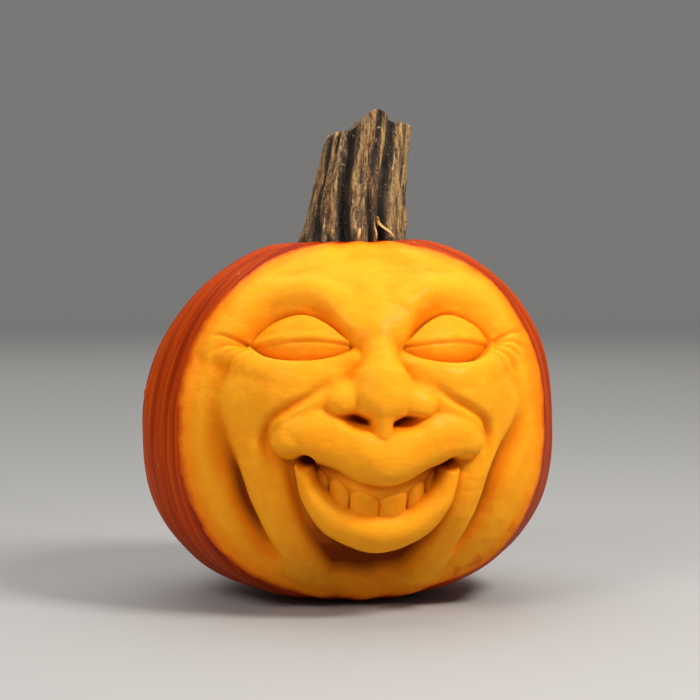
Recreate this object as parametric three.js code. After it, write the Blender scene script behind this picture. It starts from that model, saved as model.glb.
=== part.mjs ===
// A carved pumpkin lantern: one whole pumpkin with its rind peeled off the front and a laughing face
// carved into the flesh, and the woody stalk that stands on its top.
// Millimetres, +Z up, origin at the middle of the flat foot, face towards -Y.
import * as THREE from "three";
import { mergeVertices } from "three/addons/utils/BufferGeometryUtils.js";

// The pumpkin: a squared-off ellipsoid, a little deeper above its widest ring than below it. Its upper
// half is squarer on the right than on the left.
const GIRTH_RADIUS = 120;
const CROWN_HEIGHT = 0.943 * GIRTH_RADIUS;
const BASE_DEPTH = 0.832 * GIRTH_RADIUS;
const LOWER_SQUARENESS = 2.4;
const UPPER_SQUARENESS = 2.24;
const LOPSIDED = 0.17;
const RIB_COUNT = 13;
const RIB_DEPTH = 0.9;
const FOOT_CUT = 1.2;
const MIDDLE_HEIGHT = BASE_DEPTH - FOOT_CUT;

// The stalk and the flat seat under it.
const STALK_BASE_X = 3.5;
const STALK_BASE_RADIUS = 30;
const STALK_TOP_RADIUS = 25;
const STALK_FLARE = 2.5;
const STALK_HEIGHT = 68;
const STALK_LEAN = 9.5;
const STALK_RIBS = 5;
const STALK_RIB_DEPTH = 3.2;
const SEAT_RADIUS = 41;
const SEAT_HEIGHT = CROWN_HEIGHT - 4.6;
const SEAT_GAP = 0.3;

// The carving: a round field on the front, measured by the angle from its middle. It is a little taller
// than wide, and narrower on the right.
const FACE_TILT = THREE.MathUtils.degToRad(5);
const FIELD_ANGLE = THREE.MathUtils.degToRad(62);
const FIELD_EXTRA = THREE.MathUtils.degToRad(5);
const FIELD_RIGHT = THREE.MathUtils.degToRad(3);
const ARC = 110; // millimetres on the face chart for each radian
const RIND_LIP = -0.8; // nothing carved stands higher than this below the rind
const FLOOR = -16.5;
const RIM_DEPTH = -5.5;
const RIM_WIDTH = 12;
const RIM_CHIN = 7; // how much narrower the rim is below the chin
const RIM_RIGHT = 9; // and how much wider low on the right
const FOLD_SHIFT = 0.17; // share by which the folds on the right run nearer the mouth

// Eyes, mouth and teeth, on the face chart: across from the middle line, and up from the field's middle.
const EYE = { across: 46, up: 48, half: 31.5, rise: 19.5, drop: 13, slope: 3.5 };
const MOUTH = { half: 38, top: -31, bottom: -55, topLift: 13, bottomLift: 33 };
const TEETH = [
  { across: 8.6, half: 8.6 },
  { across: 23.0, half: 6.4 },
  { across: 33.4, half: 4.6 },
  { across: 40.0, half: 2.6 },
];
const TOOTH_DEPTH = -12;
const ARCH_DEPTH = 9.5;

// Mesh density.
const BALL_DETAIL = 19;
const FRONT_FOCUS = 0.45;
const STALK_SIDES = 40;
const STALK_RINGS = 13;

const { clamp } = THREE.MathUtils;

function smoothMax(a, b, blend) {
  const share = clamp(0.5 + (0.5 * (a - b)) / blend, 0, 1);
  return b + (a - b) * share + blend * share * (1 - share);
}

function smoothMin(a, b, blend) {
  return -smoothMax(-a, -b, blend);
}

// Rises smoothly from 0 at lo to 1 at hi, or falls if hi is below lo.
function ease(lo, hi, x) {
  const t = clamp((x - lo) / (hi - lo), 0, 1);
  return t * t * (3 - 2 * t);
}

function bell(q) {
  return Math.exp(-q * q);
}

// A smooth line through a few rows of [across, up, values...], as a list of closer rows.
function smoothLine(rows, steps = 8) {
  const first = rows[0].map((x, k) => 2 * x - rows[1][k]);
  const last = rows.at(-1).map((x, k) => 2 * x - rows.at(-2)[k]);
  const all = [first, ...rows, last];
  const line = [];
  for (let i = 1; i < all.length - 2; i++) {
    for (let j = 0; j < steps; j++) {
      const t = j / steps;
      line.push(
        all[i].map((b, k) => {
          const [a, c, d] = [all[i - 1][k], all[i + 1][k], all[i + 2][k]];
          const square = 2 * a - 5 * b + 4 * c - d;
          const cube = 3 * b - a - 3 * c + d;
          return 0.5 * (2 * b + (c - a) * t + square * t * t + cube * t ** 3);
        }),
      );
    }
  }
  line.push(rows.at(-1));
  return line;
}

// Distance from (u, v) to a line, and the line's values at its nearest place.
function nearest(u, v, line) {
  let best = { distance: Infinity, values: [] };
  for (let i = 1; i < line.length; i++) {
    const [a, b] = [line[i - 1], line[i]];
    const [du, dv] = [b[0] - a[0], b[1] - a[1]];
    const t = clamp(((u - a[0]) * du + (v - a[1]) * dv) / (du * du + dv * dv), 0, 1);
    const distance = Math.hypot(u - a[0] - t * du, v - a[1] - t * dv);
    if (distance < best.distance) {
      best = { distance, values: a.slice(2).map((x, k) => x + t * (b[k + 2] - x)) };
    }
  }
  return best;
}

// A rounded ridge along rows of [across, up, radius, crest]. It has fallen by drop one radius away.
function ridge(rows, drop, fullness) {
  const line = smoothLine(rows);
  return (u, v) => {
    const { distance, values } = nearest(u, v, line);
    const q = distance / values[0];
    return values[1] - drop * (q * q + fullness * q ** 4);
  };
}

// A rounded mound with two radii.
function mound({ across, up, wide, tall, top, drop, turn = 0, fullness = 0.3 }) {
  const c = Math.cos(THREE.MathUtils.degToRad(turn));
  const s = Math.sin(THREE.MathUtils.degToRad(turn));
  return (u, v) => {
    const a = (u - across) * c + (v - up) * s;
    const b = (v - up) * c - (u - across) * s;
    const q = Math.hypot(a / wide, b / tall);
    return top - drop * (q * q + fullness * q ** 4);
  };
}

// A groove cut along rows of [across, up, strength].
function groove(rows, width, depth) {
  const line = smoothLine(rows);
  return (u, v) => {
    const { distance, values } = nearest(u, v, line);
    return -depth * values[0] * bell(distance / width);
  };
}

// The masses of the face, each the height of one lump of flesh above (+) or below (-) the rind.
const browArch = ridge(
  [
    [8, 64, 8, -5.8],
    [18, 72, 9, -4.8],
    [32, 82, 9, -3.2],
    [50, 86, 9, -2.6],
    [66, 85, 9, -3],
    [82, 77, 9, -4.2],
  ],
  3,
  0.3,
);
const browTail = ridge([[84, 62, 8, -9], [94, 58, 9, -7.4], [104, 50, 9, -7]], 4, 0.5);
const cheekApple = mound({
  across: 62, up: 19, wide: 38, tall: 34, top: -3.2, drop: 8, turn: 20, fullness: 0.25,
});
const innerCheek = mound({ across: 40, up: 19, wide: 26, tall: 17, top: -6, drop: 6, turn: -20 });
const eyeBag = ridge(
  [[15, 36, 9, -10.5], [42, 27, 11, -5.6], [66, 32, 12, -4.6], [88, 44, 10, -6.8]],
  6,
  0.6,
);
const lidBall = mound({
  across: 46, up: 51, wide: 37, tall: 24, top: -8.6, drop: 5.5, turn: 4, fullness: 0.6,
});
const noseBridge = ridge(
  [[0, 80, 24, -6.2], [0, 62, 16, -8.4], [0, 48, 13, -8.4], [0, 38, 12.5, -6.2], [0, 28, 15, -2.8]],
  6.4,
  0.3,
);
const noseTip = mound({ across: 0, up: 16.5, wide: 20.5, tall: 15, top: -0.7, drop: 6.5, fullness: 0.5 });
const noseWing = mound({
  across: 21.5, up: 13.5, wide: 12, tall: 11.5, top: -3.8, drop: 6, turn: -18, fullness: 0.7,
});
const wingCrease = groove([[13, 25, 0.4], [15, 17, 1], [12.5, 8, 1]], 2.4, 1);
const noseStem = ridge([[0, 11, 8.5, -3.2], [0, -3, 7.5, -5]], 5, 0.6);
const lipCrest = ridge(
  [
    [51, -8, 13, -4.8],
    [38, -7, 15.5, -3.8],
    [22, -10, 17, -2.8],
    [9, -16.5, 16.5, -2.2],
    [0, -18.5, 16, -2.3],
    [-9, -16.5, 16.5, -2.2],
  ],
  7,
  0.9,
);
const lipSlope = ridge(
  [
    [50, -1, 12, -5.4],
    [38, 1.5, 13, -5.6],
    [24, -2, 13, -6.2],
    [10, -10, 12, -5],
    [0, -12, 12, -4.6],
    [-10, -10, 12, -5],
  ],
  7,
  0.9,
);
const lipEnd = mound({ across: 52.5, up: -9, wide: 12, tall: 11.5, top: -3.6, drop: 6.5, fullness: 0.8 });
const lowerLip = ridge(
  [
    [44.5, -25, 6, -9.5],
    [37.5, -42, 8.5, -6.5],
    [22.5, -57.5, 12, -3.4],
    [0, -63.5, 14, -2.2],
    [-22.5, -57.5, 12, -3.4],
  ],
  6.5,
  0.9,
);
const outerFold = ridge(
  [[81, 14, 17, -5.4], [75, -12, 15, -5.8], [66, -42, 13, -6.2], [56, -74, 12, -6.6], [46, -108, 11, -7]],
  6.5,
  0.25,
);
const innerFold = ridge(
  [[59, -30, 7, -11], [53, -54, 8, -9.6], [44, -82, 8.5, -9.2], [34, -110, 8.5, -9]],
  6.5,
  0.4,
);
const smileCrease = groove(
  [[30, 22, 0.7], [40, 14.5, 1], [51, 8.5, 1.1], [61, 2, 1.1], [65.5, -8, 1], [63.5, -19, 0.5]],
  2.8,
  3.2,
);
const jowlCrease = groove(
  [[86, -8, 0.1], [86, -30, 0.6], [81, -52, 1], [71, -76, 0.9], [62, -95, 0.2]],
  5.5,
  4,
);

// The forehead, the arched brows and the planes that slope from them into the eye sockets.
function foreheadHeight(u, v) {
  const plain = -4.2 - 2.4 * (Math.min(v - 112, 0) / 45) ** 2 - 12 * ease(54, 26, v);
  const crest = 57 + 27 * ease(0, 38, u) - 30 * ease(58, 108, u) ** 1.2;
  const below = Math.max(crest - v, 0);
  const steep = 0.5 + 0.5 * ease(9, 30, u);
  const socket = -2.6 - steep * (0.6 * (crest - v) + 0.004 * below ** 2) - 2 * ease(62, 46, v);
  const head = smoothMax(smoothMin(plain, socket, 2.2), browArch(u, v), 3);
  return smoothMax(head, browTail(u, v), 3);
}

// Distance outside (+) or inside (-) the almond in which the closed eye lies.
function outsideEye(u, v) {
  const t = (u - EYE.across) / EYE.half;
  const wide = clamp(1 - t * t, 0, 1);
  const above = v - EYE.up - EYE.slope * t;
  const upper = above - EYE.rise * wide ** 0.9 * (1 + 0.12 * t);
  const lower = -above - EYE.drop * wide ** 0.85 * (1 + 0.2 * t);
  return smoothMax(smoothMax(upper, lower, 0.5), (Math.abs(t) - 1) * EYE.half, 1);
}

// The two lids, the lower one set back behind the upper one's edge.
function lidHeight(u, v) {
  const t = (u - EYE.across) / EYE.half;
  const slit = 46 + 3.6 * clamp((u - 18) / 56, 0, 1) - 0.4 * clamp(1 - t * t, 0, 1);
  return lidBall(u, v) - 1.2 * ease(0.5, -0.5, v - slit) - 0.26 * Math.max(slit - v, 0);
}

function noseHeight(u, v) {
  const lump = smoothMax(smoothMax(noseBridge(u, v), noseTip(u, v), 6), noseWing(u, v), 5);
  return smoothMax(lump + wingCrease(u, v), noseStem(u, v), 3);
}

// The row of upper teeth below a strip of gum, and undefined outside the open mouth.
function teethAt(u, v) {
  const lipEdge = MOUTH.top + MOUTH.topLift * (u / MOUTH.half) ** 2;
  const lowEdge = MOUTH.bottom + MOUTH.bottomLift * (Math.min(u, 50) / MOUTH.half) ** 2.2;
  const inside = Math.min(lipEdge + 9 - v, v - lowEdge + 9, MOUTH.half + 5 - u);
  if (inside < 1.5) return undefined;
  const arch = TOOTH_DEPTH - ARCH_DEPTH * (u / 39) ** 2.2;
  let height = arch - 3.2;
  for (const tooth of TEETH) {
    const q = Math.abs(u - tooth.across) / tooth.half;
    if (q > 1.06) continue;
    const gumLine = lipEdge - 10.5 + 6.2 * Math.sqrt(clamp(1 - q * q, 0, 1));
    const face = arch + 1.8 * (1 - q * q) - 2.4 * ease(0.86, 1.02, q);
    height = Math.max(height, face - 2.4 * ease(gumLine - 1.4, gumLine + 0.8, v));
  }
  return height;
}

// The smooth band inside the cut edge. It falls away towards the folds.
function rimHeight(u, v, edge, lowRight) {
  const chin = bell(u / 40) ** 1.5 * ease(-70, -105, v);
  const width = RIM_WIDTH - RIM_CHIN * chin + RIM_RIGHT * lowRight * (1 - chin);
  const beyond = Math.max(edge - width, 0);
  return RIM_DEPTH * ease(-1, width + 1, edge) - (0.42 + 0.6 * chin) * beyond - 0.035 * beyond ** 2;
}

// Height of the carved surface at (across, up) on the face chart, edge millimetres inside the rind.
function carvedHeight(across, v, edge) {
  const u = Math.sqrt(across * across + 0.5);
  const lowRight = ease(15, 50, across) * ease(15, -35, v);
  const foldU = u * (1 + FOLD_SHIFT * lowRight);
  const underLip = 11 * bell(u / 38) ** 1.5 * bell((v + 97) / 23);
  let height = smoothMax(foreheadHeight(u, v), FLOOR - underLip, 4);
  height = smoothMax(height, outerFold(foldU, v), 8);
  height = smoothMax(height, innerFold(foldU, v), 3);
  const cheek = smoothMax(smoothMax(cheekApple(u, v), innerCheek(u, v), 4), eyeBag(u, v), 5);
  height = smoothMax(height, cheek, 4);
  height = smoothMax(height, rimHeight(u, v, edge, lowRight), 7 + 5 * ease(-25, 30, v));
  height += smileCrease(u, v) + jowlCrease(foldU, v);
  height += (lidHeight(u, v) - height) * ease(1, -1, outsideEye(u, v));
  height = smoothMax(height, noseHeight(u, v), 2.5);
  height = teethAt(u, v) ?? height;
  height = smoothMax(height, lowerLip(u, v), 1.2);
  const upperLip = smoothMax(smoothMax(lipCrest(u, v), lipSlope(u, v), 6), lipEnd(u, v), 2);
  height = smoothMax(height, upperLip, 1.2);
  const mouthCorner = bell(Math.hypot((u - 42.5) / 4.2, (v + 21) / 3.6) ** 1.6);
  const nostril = bell(Math.hypot((u - 14) / 8, (v - 2) / 3.8) ** 1.6);
  height -= 13 * mouthCorner + 8 * nostril;
  return smoothMin(height, RIND_LIP, 0.8) * ease(-0.5, 8, edge);
}

// Distance from the pumpkin's middle to its rind along a unit direction.
function rindDistance(direction) {
  const level = Math.hypot(direction.x, direction.y);
  const upper = direction.z > 0;
  const tall = upper ? CROWN_HEIGHT : BASE_DEPTH;
  const lean = (LOPSIDED * direction.x) / (level + 1e-9);
  const power = upper ? UPPER_SQUARENESS + lean : LOWER_SQUARENESS;
  const sum = (level / GIRTH_RADIUS) ** power + (Math.abs(direction.z) / tall) ** power;
  const around = Math.atan2(direction.x, -direction.y);
  return sum ** (-1 / power) + RIB_DEPTH * Math.cos(RIB_COUNT * around) * level ** 0.7;
}

const faceForward = new THREE.Vector3(0, -Math.cos(FACE_TILT), Math.sin(FACE_TILT));
const faceUp = new THREE.Vector3(0, Math.sin(FACE_TILT), Math.cos(FACE_TILT));

// The point of the pumpkin's surface along a unit direction from its middle.
function surfacePoint(direction) {
  const angle = Math.acos(clamp(direction.dot(faceForward), -1, 1));
  const [right, up] = [direction.x, direction.dot(faceUp)];
  const turn = Math.atan2(up, right);
  const size = Math.hypot(right, up) + 1e-9;
  const narrowing = FIELD_RIGHT * bell((turn - 0.25) / 0.8);
  const field = FIELD_ANGLE + FIELD_EXTRA * Math.abs(Math.sin(turn)) ** 3 - narrowing;
  const edge = (field - angle) * ARC;
  const arc = (ARC * angle) / size;
  const height = edge > 0 ? carvedHeight(arc * right, arc * up, edge) : 0;
  const point = direction.clone().multiplyScalar(rindDistance(direction) + height);
  const fromAxis = Math.hypot(point.x - STALK_BASE_X, point.y);
  if (direction.z > 0 && fromAxis < SEAT_RADIUS) point.z = Math.min(point.z, SEAT_HEIGHT);
  point.z = Math.max(point.z, -MIDDLE_HEIGHT);
  return point;
}

// A ball whose triangles crowd towards -Y, where the carving is, without being stretched.
function focusedBall() {
  const ball = new THREE.IcosahedronGeometry(1, BALL_DETAIL);
  ball.deleteAttribute("normal");
  ball.deleteAttribute("uv");
  const merged = mergeVertices(ball, 1e-5);
  const { position } = merged.attributes;
  const direction = new THREE.Vector3();
  for (let i = 0; i < position.count; i++) {
    direction.fromBufferAttribute(position, i).normalize();
    const angle = Math.acos(clamp(-direction.y, -1, 1));
    const focused = 2 * Math.atan(FRONT_FOCUS * Math.tan(angle / 2));
    const across = Math.hypot(direction.x, direction.z) + 1e-12;
    const scale = Math.sin(focused) / across;
    position.setXYZ(i, direction.x * scale, -Math.cos(focused), direction.z * scale);
  }
  return merged;
}

function pumpkinGeometry() {
  const geometry = focusedBall();
  const { position } = geometry.attributes;
  const direction = new THREE.Vector3();
  for (let i = 0; i < position.count; i++) {
    const point = surfacePoint(direction.fromBufferAttribute(position, i).normalize());
    position.setXYZ(i, point.x, point.y, point.z + MIDDLE_HEIGHT);
  }
  geometry.computeVertexNormals();
  return geometry;
}

// The stalk's outline at a share of its height: five rounded ribs with a smaller one between each two.
function stalkRadius(share, around) {
  const plain = THREE.MathUtils.lerp(STALK_BASE_RADIUS, STALK_TOP_RADIUS, share ** 0.8);
  const flare = STALK_FLARE * (1 - share) ** 7;
  const turned = around + 0.25 * share;
  const ribs = 0.65 * Math.cos(STALK_RIBS * turned) + 0.35 * Math.cos(3 * STALK_RIBS * turned + 0.7);
  return plain + flare + STALK_RIB_DEPTH * ribs;
}

// The broken top: one high tooth behind the middle, lower shoulders left and right.
function stalkTop(x, y) {
  const peak = 9 * bell((x - 1) / 9) * bell((y - 2) / 22);
  const leftShoulder = -4 * ease(-6, -24, x);
  return STALK_HEIGHT + peak + leftShoulder + 1.6 * Math.sin(0.45 * x + 0.2 * y);
}

function stalkGeometry() {
  const stalk = new THREE.CylinderGeometry(1, 1, 1, STALK_SIDES, STALK_RINGS, false);
  stalk.rotateX(Math.PI / 2);
  stalk.deleteAttribute("normal");
  stalk.deleteAttribute("uv");
  const merged = mergeVertices(stalk, 1e-5);
  const { position } = merged.attributes;
  const point = new THREE.Vector3();
  for (let i = 0; i < position.count; i++) {
    point.fromBufferAttribute(position, i);
    const share = point.z + 0.5;
    const around = Math.atan2(point.y, point.x);
    const radius = stalkRadius(share, around) * Math.hypot(point.x, point.y);
    const [x, y] = [radius * Math.cos(around), radius * Math.sin(around)];
    position.setXYZ(i, x + STALK_LEAN * share ** 1.3, y, share * stalkTop(x, y));
  }
  merged.computeVertexNormals();
  return merged;
}

const rindMaterial = new THREE.MeshStandardMaterial({ color: 0xf2a02a, roughness: 0.5, metalness: 0 });
const stalkMaterial = new THREE.MeshStandardMaterial({ color: 0x7a6242, roughness: 0.85, metalness: 0 });

const pumpkin = new THREE.Mesh(pumpkinGeometry(), rindMaterial);
pumpkin.name = "pumpkin";

const stalk = new THREE.Mesh(stalkGeometry(), stalkMaterial);
stalk.name = "stalk";
stalk.position.set(STALK_BASE_X, 0, MIDDLE_HEIGHT + SEAT_HEIGHT + SEAT_GAP);

const lantern = new THREE.Group();
lantern.add(pumpkin, stalk);

export default lantern;
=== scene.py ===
"""A carved pumpkin lantern: a whole pumpkin with a laughing face cut into its peeled front, and its stalk.

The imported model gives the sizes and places. This file makes the fine surfaces and their finishes.
"""

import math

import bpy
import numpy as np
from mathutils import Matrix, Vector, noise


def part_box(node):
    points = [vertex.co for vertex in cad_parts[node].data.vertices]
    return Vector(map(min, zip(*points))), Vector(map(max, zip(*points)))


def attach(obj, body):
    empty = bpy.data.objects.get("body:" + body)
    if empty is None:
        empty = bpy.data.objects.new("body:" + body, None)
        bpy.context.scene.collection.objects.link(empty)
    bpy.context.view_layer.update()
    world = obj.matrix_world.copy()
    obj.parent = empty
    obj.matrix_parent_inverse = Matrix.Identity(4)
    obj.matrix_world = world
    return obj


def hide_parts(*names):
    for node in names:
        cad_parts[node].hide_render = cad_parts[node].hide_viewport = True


bl_info = {
    "name": "Carved Pumpkin Lantern",
    "version": (1, 0, 0),
    "blender": (4, 5, 0),
    "location": "View3D > Sidebar > Lantern",
    "description": "Models a pumpkin lantern with a carved laughing face, its stalk and a plain studio",
    "category": "Add Mesh",
}

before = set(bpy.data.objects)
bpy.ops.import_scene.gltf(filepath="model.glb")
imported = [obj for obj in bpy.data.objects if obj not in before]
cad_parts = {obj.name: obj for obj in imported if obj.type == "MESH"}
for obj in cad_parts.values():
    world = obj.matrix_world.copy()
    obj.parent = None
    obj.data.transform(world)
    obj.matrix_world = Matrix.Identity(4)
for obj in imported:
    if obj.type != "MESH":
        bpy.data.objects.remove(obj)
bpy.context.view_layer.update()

# Sizes in millimetres, the main ones from the frame. M turns millimetres into metres.
M = 0.001
PUMPKIN_LOW, PUMPKIN_HIGH = (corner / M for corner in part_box("pumpkin"))
STALK_LOW, STALK_HIGH = (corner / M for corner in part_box("stalk"))
RIB_DEPTH = 0.9
RIB_COUNT = 13
GIRTH_RADIUS = (PUMPKIN_HIGH.x - PUMPKIN_LOW.x) / 2 - RIB_DEPTH / 2
CROWN_HEIGHT = 0.943 * GIRTH_RADIUS
BASE_DEPTH = 0.832 * GIRTH_RADIUS
FOOT_CUT = 0.01 * GIRTH_RADIUS
MIDDLE = BASE_DEPTH - FOOT_CUT
# How square the outline is: 2 is an ellipse. Its right shoulder is squarer than its left.
LOWER_SQUARENESS = 2.4
UPPER_SQUARENESS = 2.24
LOPSIDED = 0.17

# The carving is laid out on a chart: across and up in millimetres along the rind from the field's middle.
FACE_TILT = math.radians(5)
FIELD_ANGLE = math.radians(62)
FIELD_TALLER = math.radians(5)
FIELD_LESS_RIGHT = math.radians(3)
FIELD_SWAY = ((3, 0.6, math.radians(0.5)), (7, 2, math.radians(0.35)))
ARC = 110
FACE_FORWARD = np.array([0, -math.cos(FACE_TILT), math.sin(FACE_TILT)])
FACE_UP = np.array([0, math.sin(FACE_TILT), math.cos(FACE_TILT)])
RIND_LIP = -0.8
FAR_BELOW = -60.0


# ---- Blending and lines


def smooth_max(a, b, blend):
    """The larger of two heights, with the corner between them rounded."""
    share = np.clip(0.5 + 0.5 * (a - b) / blend, 0, 1)
    return b + (a - b) * share + blend * share * (1 - share)


def smooth_min(a, b, blend):
    """The smaller of two heights, with the corner between them rounded."""
    return -smooth_max(-a, -b, blend)


def merged(height, *parts):
    """Joins more shapes to a height, each given with the blend of the corner between them."""
    for part, blend in parts:
        height = smooth_max(height, part, blend)
    return height


def ease(low, high, x):
    """Rises smoothly from 0 at low to 1 at high, or falls if high is below low."""
    t = np.clip((x - low) / (high - low), 0, 1)
    return t * t * (3 - 2 * t)


def bell(q):
    """A bell curve, 1 in the middle and nearly 0 at 2."""
    return np.exp(-q * q)


def smooth_line(rows, steps=12):
    """A smooth line through rows of (across, up, values...)."""
    p = np.array(rows, float)
    p = np.vstack([2 * p[0] - p[1], p, 2 * p[-1] - p[-2]])
    a, b, c, d = (p[k : len(p) - 3 + k, None, :] for k in range(4))
    t = np.linspace(0, 1, steps, endpoint=False)[None, :, None]
    square = 2 * a - 5 * b + 4 * c - d
    cube = 3 * b - a - 3 * c + d
    line = 0.5 * (2 * b + (c - a) * t + square * t**2 + cube * t**3)
    return np.vstack([line.reshape(-1, p.shape[1]), p[-2]])


def nearest(u, v, line):
    """Distance from each point to a line, and the line's values at the nearest place."""
    best = np.full(u.shape, np.inf)
    values = np.zeros((line.shape[1] - 2,) + u.shape)
    for start, end in zip(line[:-1], line[1:]):
        along = end[:2] - start[:2]
        t = ((u - start[0]) * along[0] + (v - start[1]) * along[1]) / (along @ along + 1e-12)
        t = np.clip(t, 0, 1)
        distance = np.hypot(u - start[0] - t * along[0], v - start[1] - t * along[1])
        closer = distance < best
        best = np.where(closer, distance, best)
        for k in range(len(values)):
            values[k] = np.where(closer, start[k + 2] + t * (end[k + 2] - start[k + 2]), values[k])
    return best, values


def beside(u, v, rows, reach):
    """Which points lie near a line of rows, their distance from it and its values at the nearest place."""
    p = np.array(rows, float)
    near = (u > p[:, 0].min() - reach) & (u < p[:, 0].max() + reach)
    near &= (v > p[:, 1].min() - reach) & (v < p[:, 1].max() + reach)
    return near, *nearest(u[near], v[near], smooth_line(rows))


def ridge(u, v, rows, drop, full):
    """A rounded ridge along rows of (across, up, radius, crest). It falls by drop one radius away."""
    height = np.full(u.shape, FAR_BELOW)
    near, distance, (radius, crest) = beside(u, v, rows, 2.6 * max(row[2] for row in rows))
    q = distance / radius
    height[near] = crest - drop * (q**2 + full * q**4)
    return height


def mound(u, v, across, up, wide, tall, top, drop, turn=0, full=0.3):
    """A rounded mound with two radii, turned by some degrees."""
    c, s = math.cos(math.radians(turn)), math.sin(math.radians(turn))
    a = (u - across) * c + (v - up) * s
    b = (v - up) * c - (u - across) * s
    q = np.hypot(a / wide, b / tall)
    return top - drop * (q**2 + full * q**4)


def groove(u, v, rows, width, depth):
    """A cut along rows of (across, up, strength)."""
    height = np.zeros(u.shape)
    near, distance, (strength,) = beside(u, v, rows, 3.5 * width)
    height[near] = -depth * strength * bell(distance / width)
    return height


# ---- The face, in millimetres above (+) or below (-) the rind. Its sides mirror each other: u is the
# distance across from the middle line, and v is up.

EYE_ACROSS = 46
EYE_HALF = 31.5
UPPER_LID = 19.5
LOWER_LID = 13
LID_STEP = 1
LASH_CUT = 0.9
LID_EDGE_CUT = 2.2
MOUTH_HALF = 38
# Each tooth from the middle line outwards: its place across and half its width.
TEETH = ((8.6, 8.6), (23, 6.4), (33.4, 4.6), (40, 2.6))
TOOTH_DEPTH = -11.5
TOOTH_CROWN = 1.8
TOOTH_GAP = 3.2
GUM_STEP = 2.8
# The holes at the mouth's corners and the nostrils: across, up, half width, half height and depth.
MOUTH_CORNER = (42.5, -21, 4.2, 3.6, 15)
NOSTRIL = (14, 2.2, 8, 3.8, 8)
NOSTRIL_SLOPE = 0.2
# Low on the right the folds come nearer the mouth by this share, and the rim is this much wider.
FOLD_NEARER = 0.17
RIM_WIDER = 9
RIM_NARROWER_AT_CHIN = 7
CHIN_HOLLOW = 12


def forehead(u, v):
    """The forehead, the arched brows and the plane that slopes from them into the eye sockets."""
    plain = -4.2 - 2.4 * (np.minimum(v - 112, 0) / 45) ** 2 - 12 * ease(54, 26, v)
    crest = 57 + 27 * ease(0, 38, u) - 30 * ease(58, 108, u) ** 1.2
    below = np.maximum(crest - v, 0)
    steep = 0.5 + 0.5 * ease(9, 30, u)
    socket = -2.6 - steep * (0.60 * (crest - v) + 0.004 * below**2) - 2 * ease(62, 46, v)
    height = smooth_min(plain, socket, 2.2 + 3 * ease(28, 10, u))
    arch = [(19, 74, 9, -5.2), (32, 82, 9, -3.2), (50, 86, 9, -2.6), (66, 85, 9, -3)]
    arch += [(82, 77, 9, -4.2)]
    tail = [(84, 62, 8, -9), (94, 58, 9, -7.4), (104, 50, 9, -7)]
    return merged(height, (ridge(u, v, arch, 3, 0.3), 3), (ridge(u, v, tail, 4, 0.5), 3))


def cheeks(u, v):
    """The round cheek and the swelling under the eye."""
    apple = mound(u, v, 62, 19, 38, 34, -3.2, 8, turn=20, full=0.25)
    inner = mound(u, v, 40, 19, 26, 17, -6, 6, turn=-20)
    bag = [(15, 36, 9, -10.5), (42, 27, 11, -5.6), (66, 32, 12, -4.6), (88, 44, 10, -6.8)]
    return merged(apple, (inner, 4), (ridge(u, v, bag, 6, 0.6), 5))


def jowl_folds(u, v):
    """The two long folds that run from the cheek down beside the mouth."""
    outer = [(81, 14, 17, -5.4), (75, -12, 15, -5.8), (66, -42, 13, -6.2), (56, -74, 12, -6.6)]
    outer += [(46, -108, 11, -7)]
    inner = [(59, -30, 7, -11), (53, -54, 8, -9.6), (44, -82, 8.5, -9.2), (34, -110, 8.5, -9)]
    return ridge(u, v, outer, 6.5, 0.25), ridge(u, v, inner, 6.5, 0.4)


def closed_eye(u, v):
    """Heights of the closed lids, and the distance outside (+) or inside (-) their almond."""
    t = (u - EYE_ACROSS) / EYE_HALF
    above = v - 48 - 3.5 * t
    wide = np.clip(1 - t**2, 0, 1)
    upper = above - UPPER_LID * wide**0.9 * (1 + 0.12 * t)
    lower = -above - LOWER_LID * wide**0.85 * (1 + 0.2 * t)
    outside = smooth_max(smooth_max(upper, lower, 0.5), (np.abs(t) - 1) * EYE_HALF, 1)
    slit = 46 + 3.6 * np.clip((u - 18) / 56, 0, 1) - 0.4 * wide
    lid = mound(u, v, EYE_ACROSS, 51, 37, 24, -8.6, 5.5, turn=4, full=0.6)
    lid = lid - LID_STEP * ease(0.5, -0.5, v - slit) - 0.22 * np.maximum(slit - v, 0)
    return lid - LASH_CUT * bell((v - slit) / 0.9) + 0.5 * bell((v - slit - 3) / 2.2), outside


def nose(u, v):
    """Bridge, round tip, wings and the stem between the nostrils."""
    bridge = [(0, 80, 24, -6.2), (0, 62, 16, -8.4), (0, 48, 13, -8.4), (0, 38, 12.5, -6.2)]
    bridge += [(0, 28, 15, -2.8)]
    tip = mound(u, v, 0, 16.5, 20.5, 15, -0.7, 6.5, full=0.5)
    wing = mound(u, v, 21.5, 13.5, 12, 11.5, -3.8, 6, turn=-18, full=0.7)
    height = merged(ridge(u, v, bridge, 6.4, 0.3), (tip, 6), (wing, 5))
    height = height + groove(u, v, [(13, 25, 0.4), (15, 17, 1), (12.5, 8, 1)], 2.4, 1)
    stem = [(0, 11, 8.5, -3.2), (0, -3, 7.5, -5)]
    return smooth_max(height, ridge(u, v, stem, 5, 0.6), 3)


def upper_lip(u, v):
    """The broad upper lip: a soft M with thick rounded ends."""
    crest = [(51, -8, 13, -4.8), (38, -7, 15.5, -3.8), (22, -10, 17, -2.8), (9, -16.5, 16.5, -2.2)]
    crest += [(0, -18.5, 16, -2.3), (-9, -16.5, 16.5, -2.2)]
    above = [(50, -1, 12, -5.4), (38, 1.5, 13, -5.6), (24, -2, 13, -6.2), (10, -10, 12, -5)]
    above += [(0, -12, 12, -4.6), (-10, -10, 12, -5)]
    end = mound(u, v, 52.5, -9, 12, 11.5, -3.6, 6.5, full=0.8)
    return merged(ridge(u, v, crest, 7, 0.9), (ridge(u, v, above, 7, 0.9), 6), (end, 2))


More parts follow.
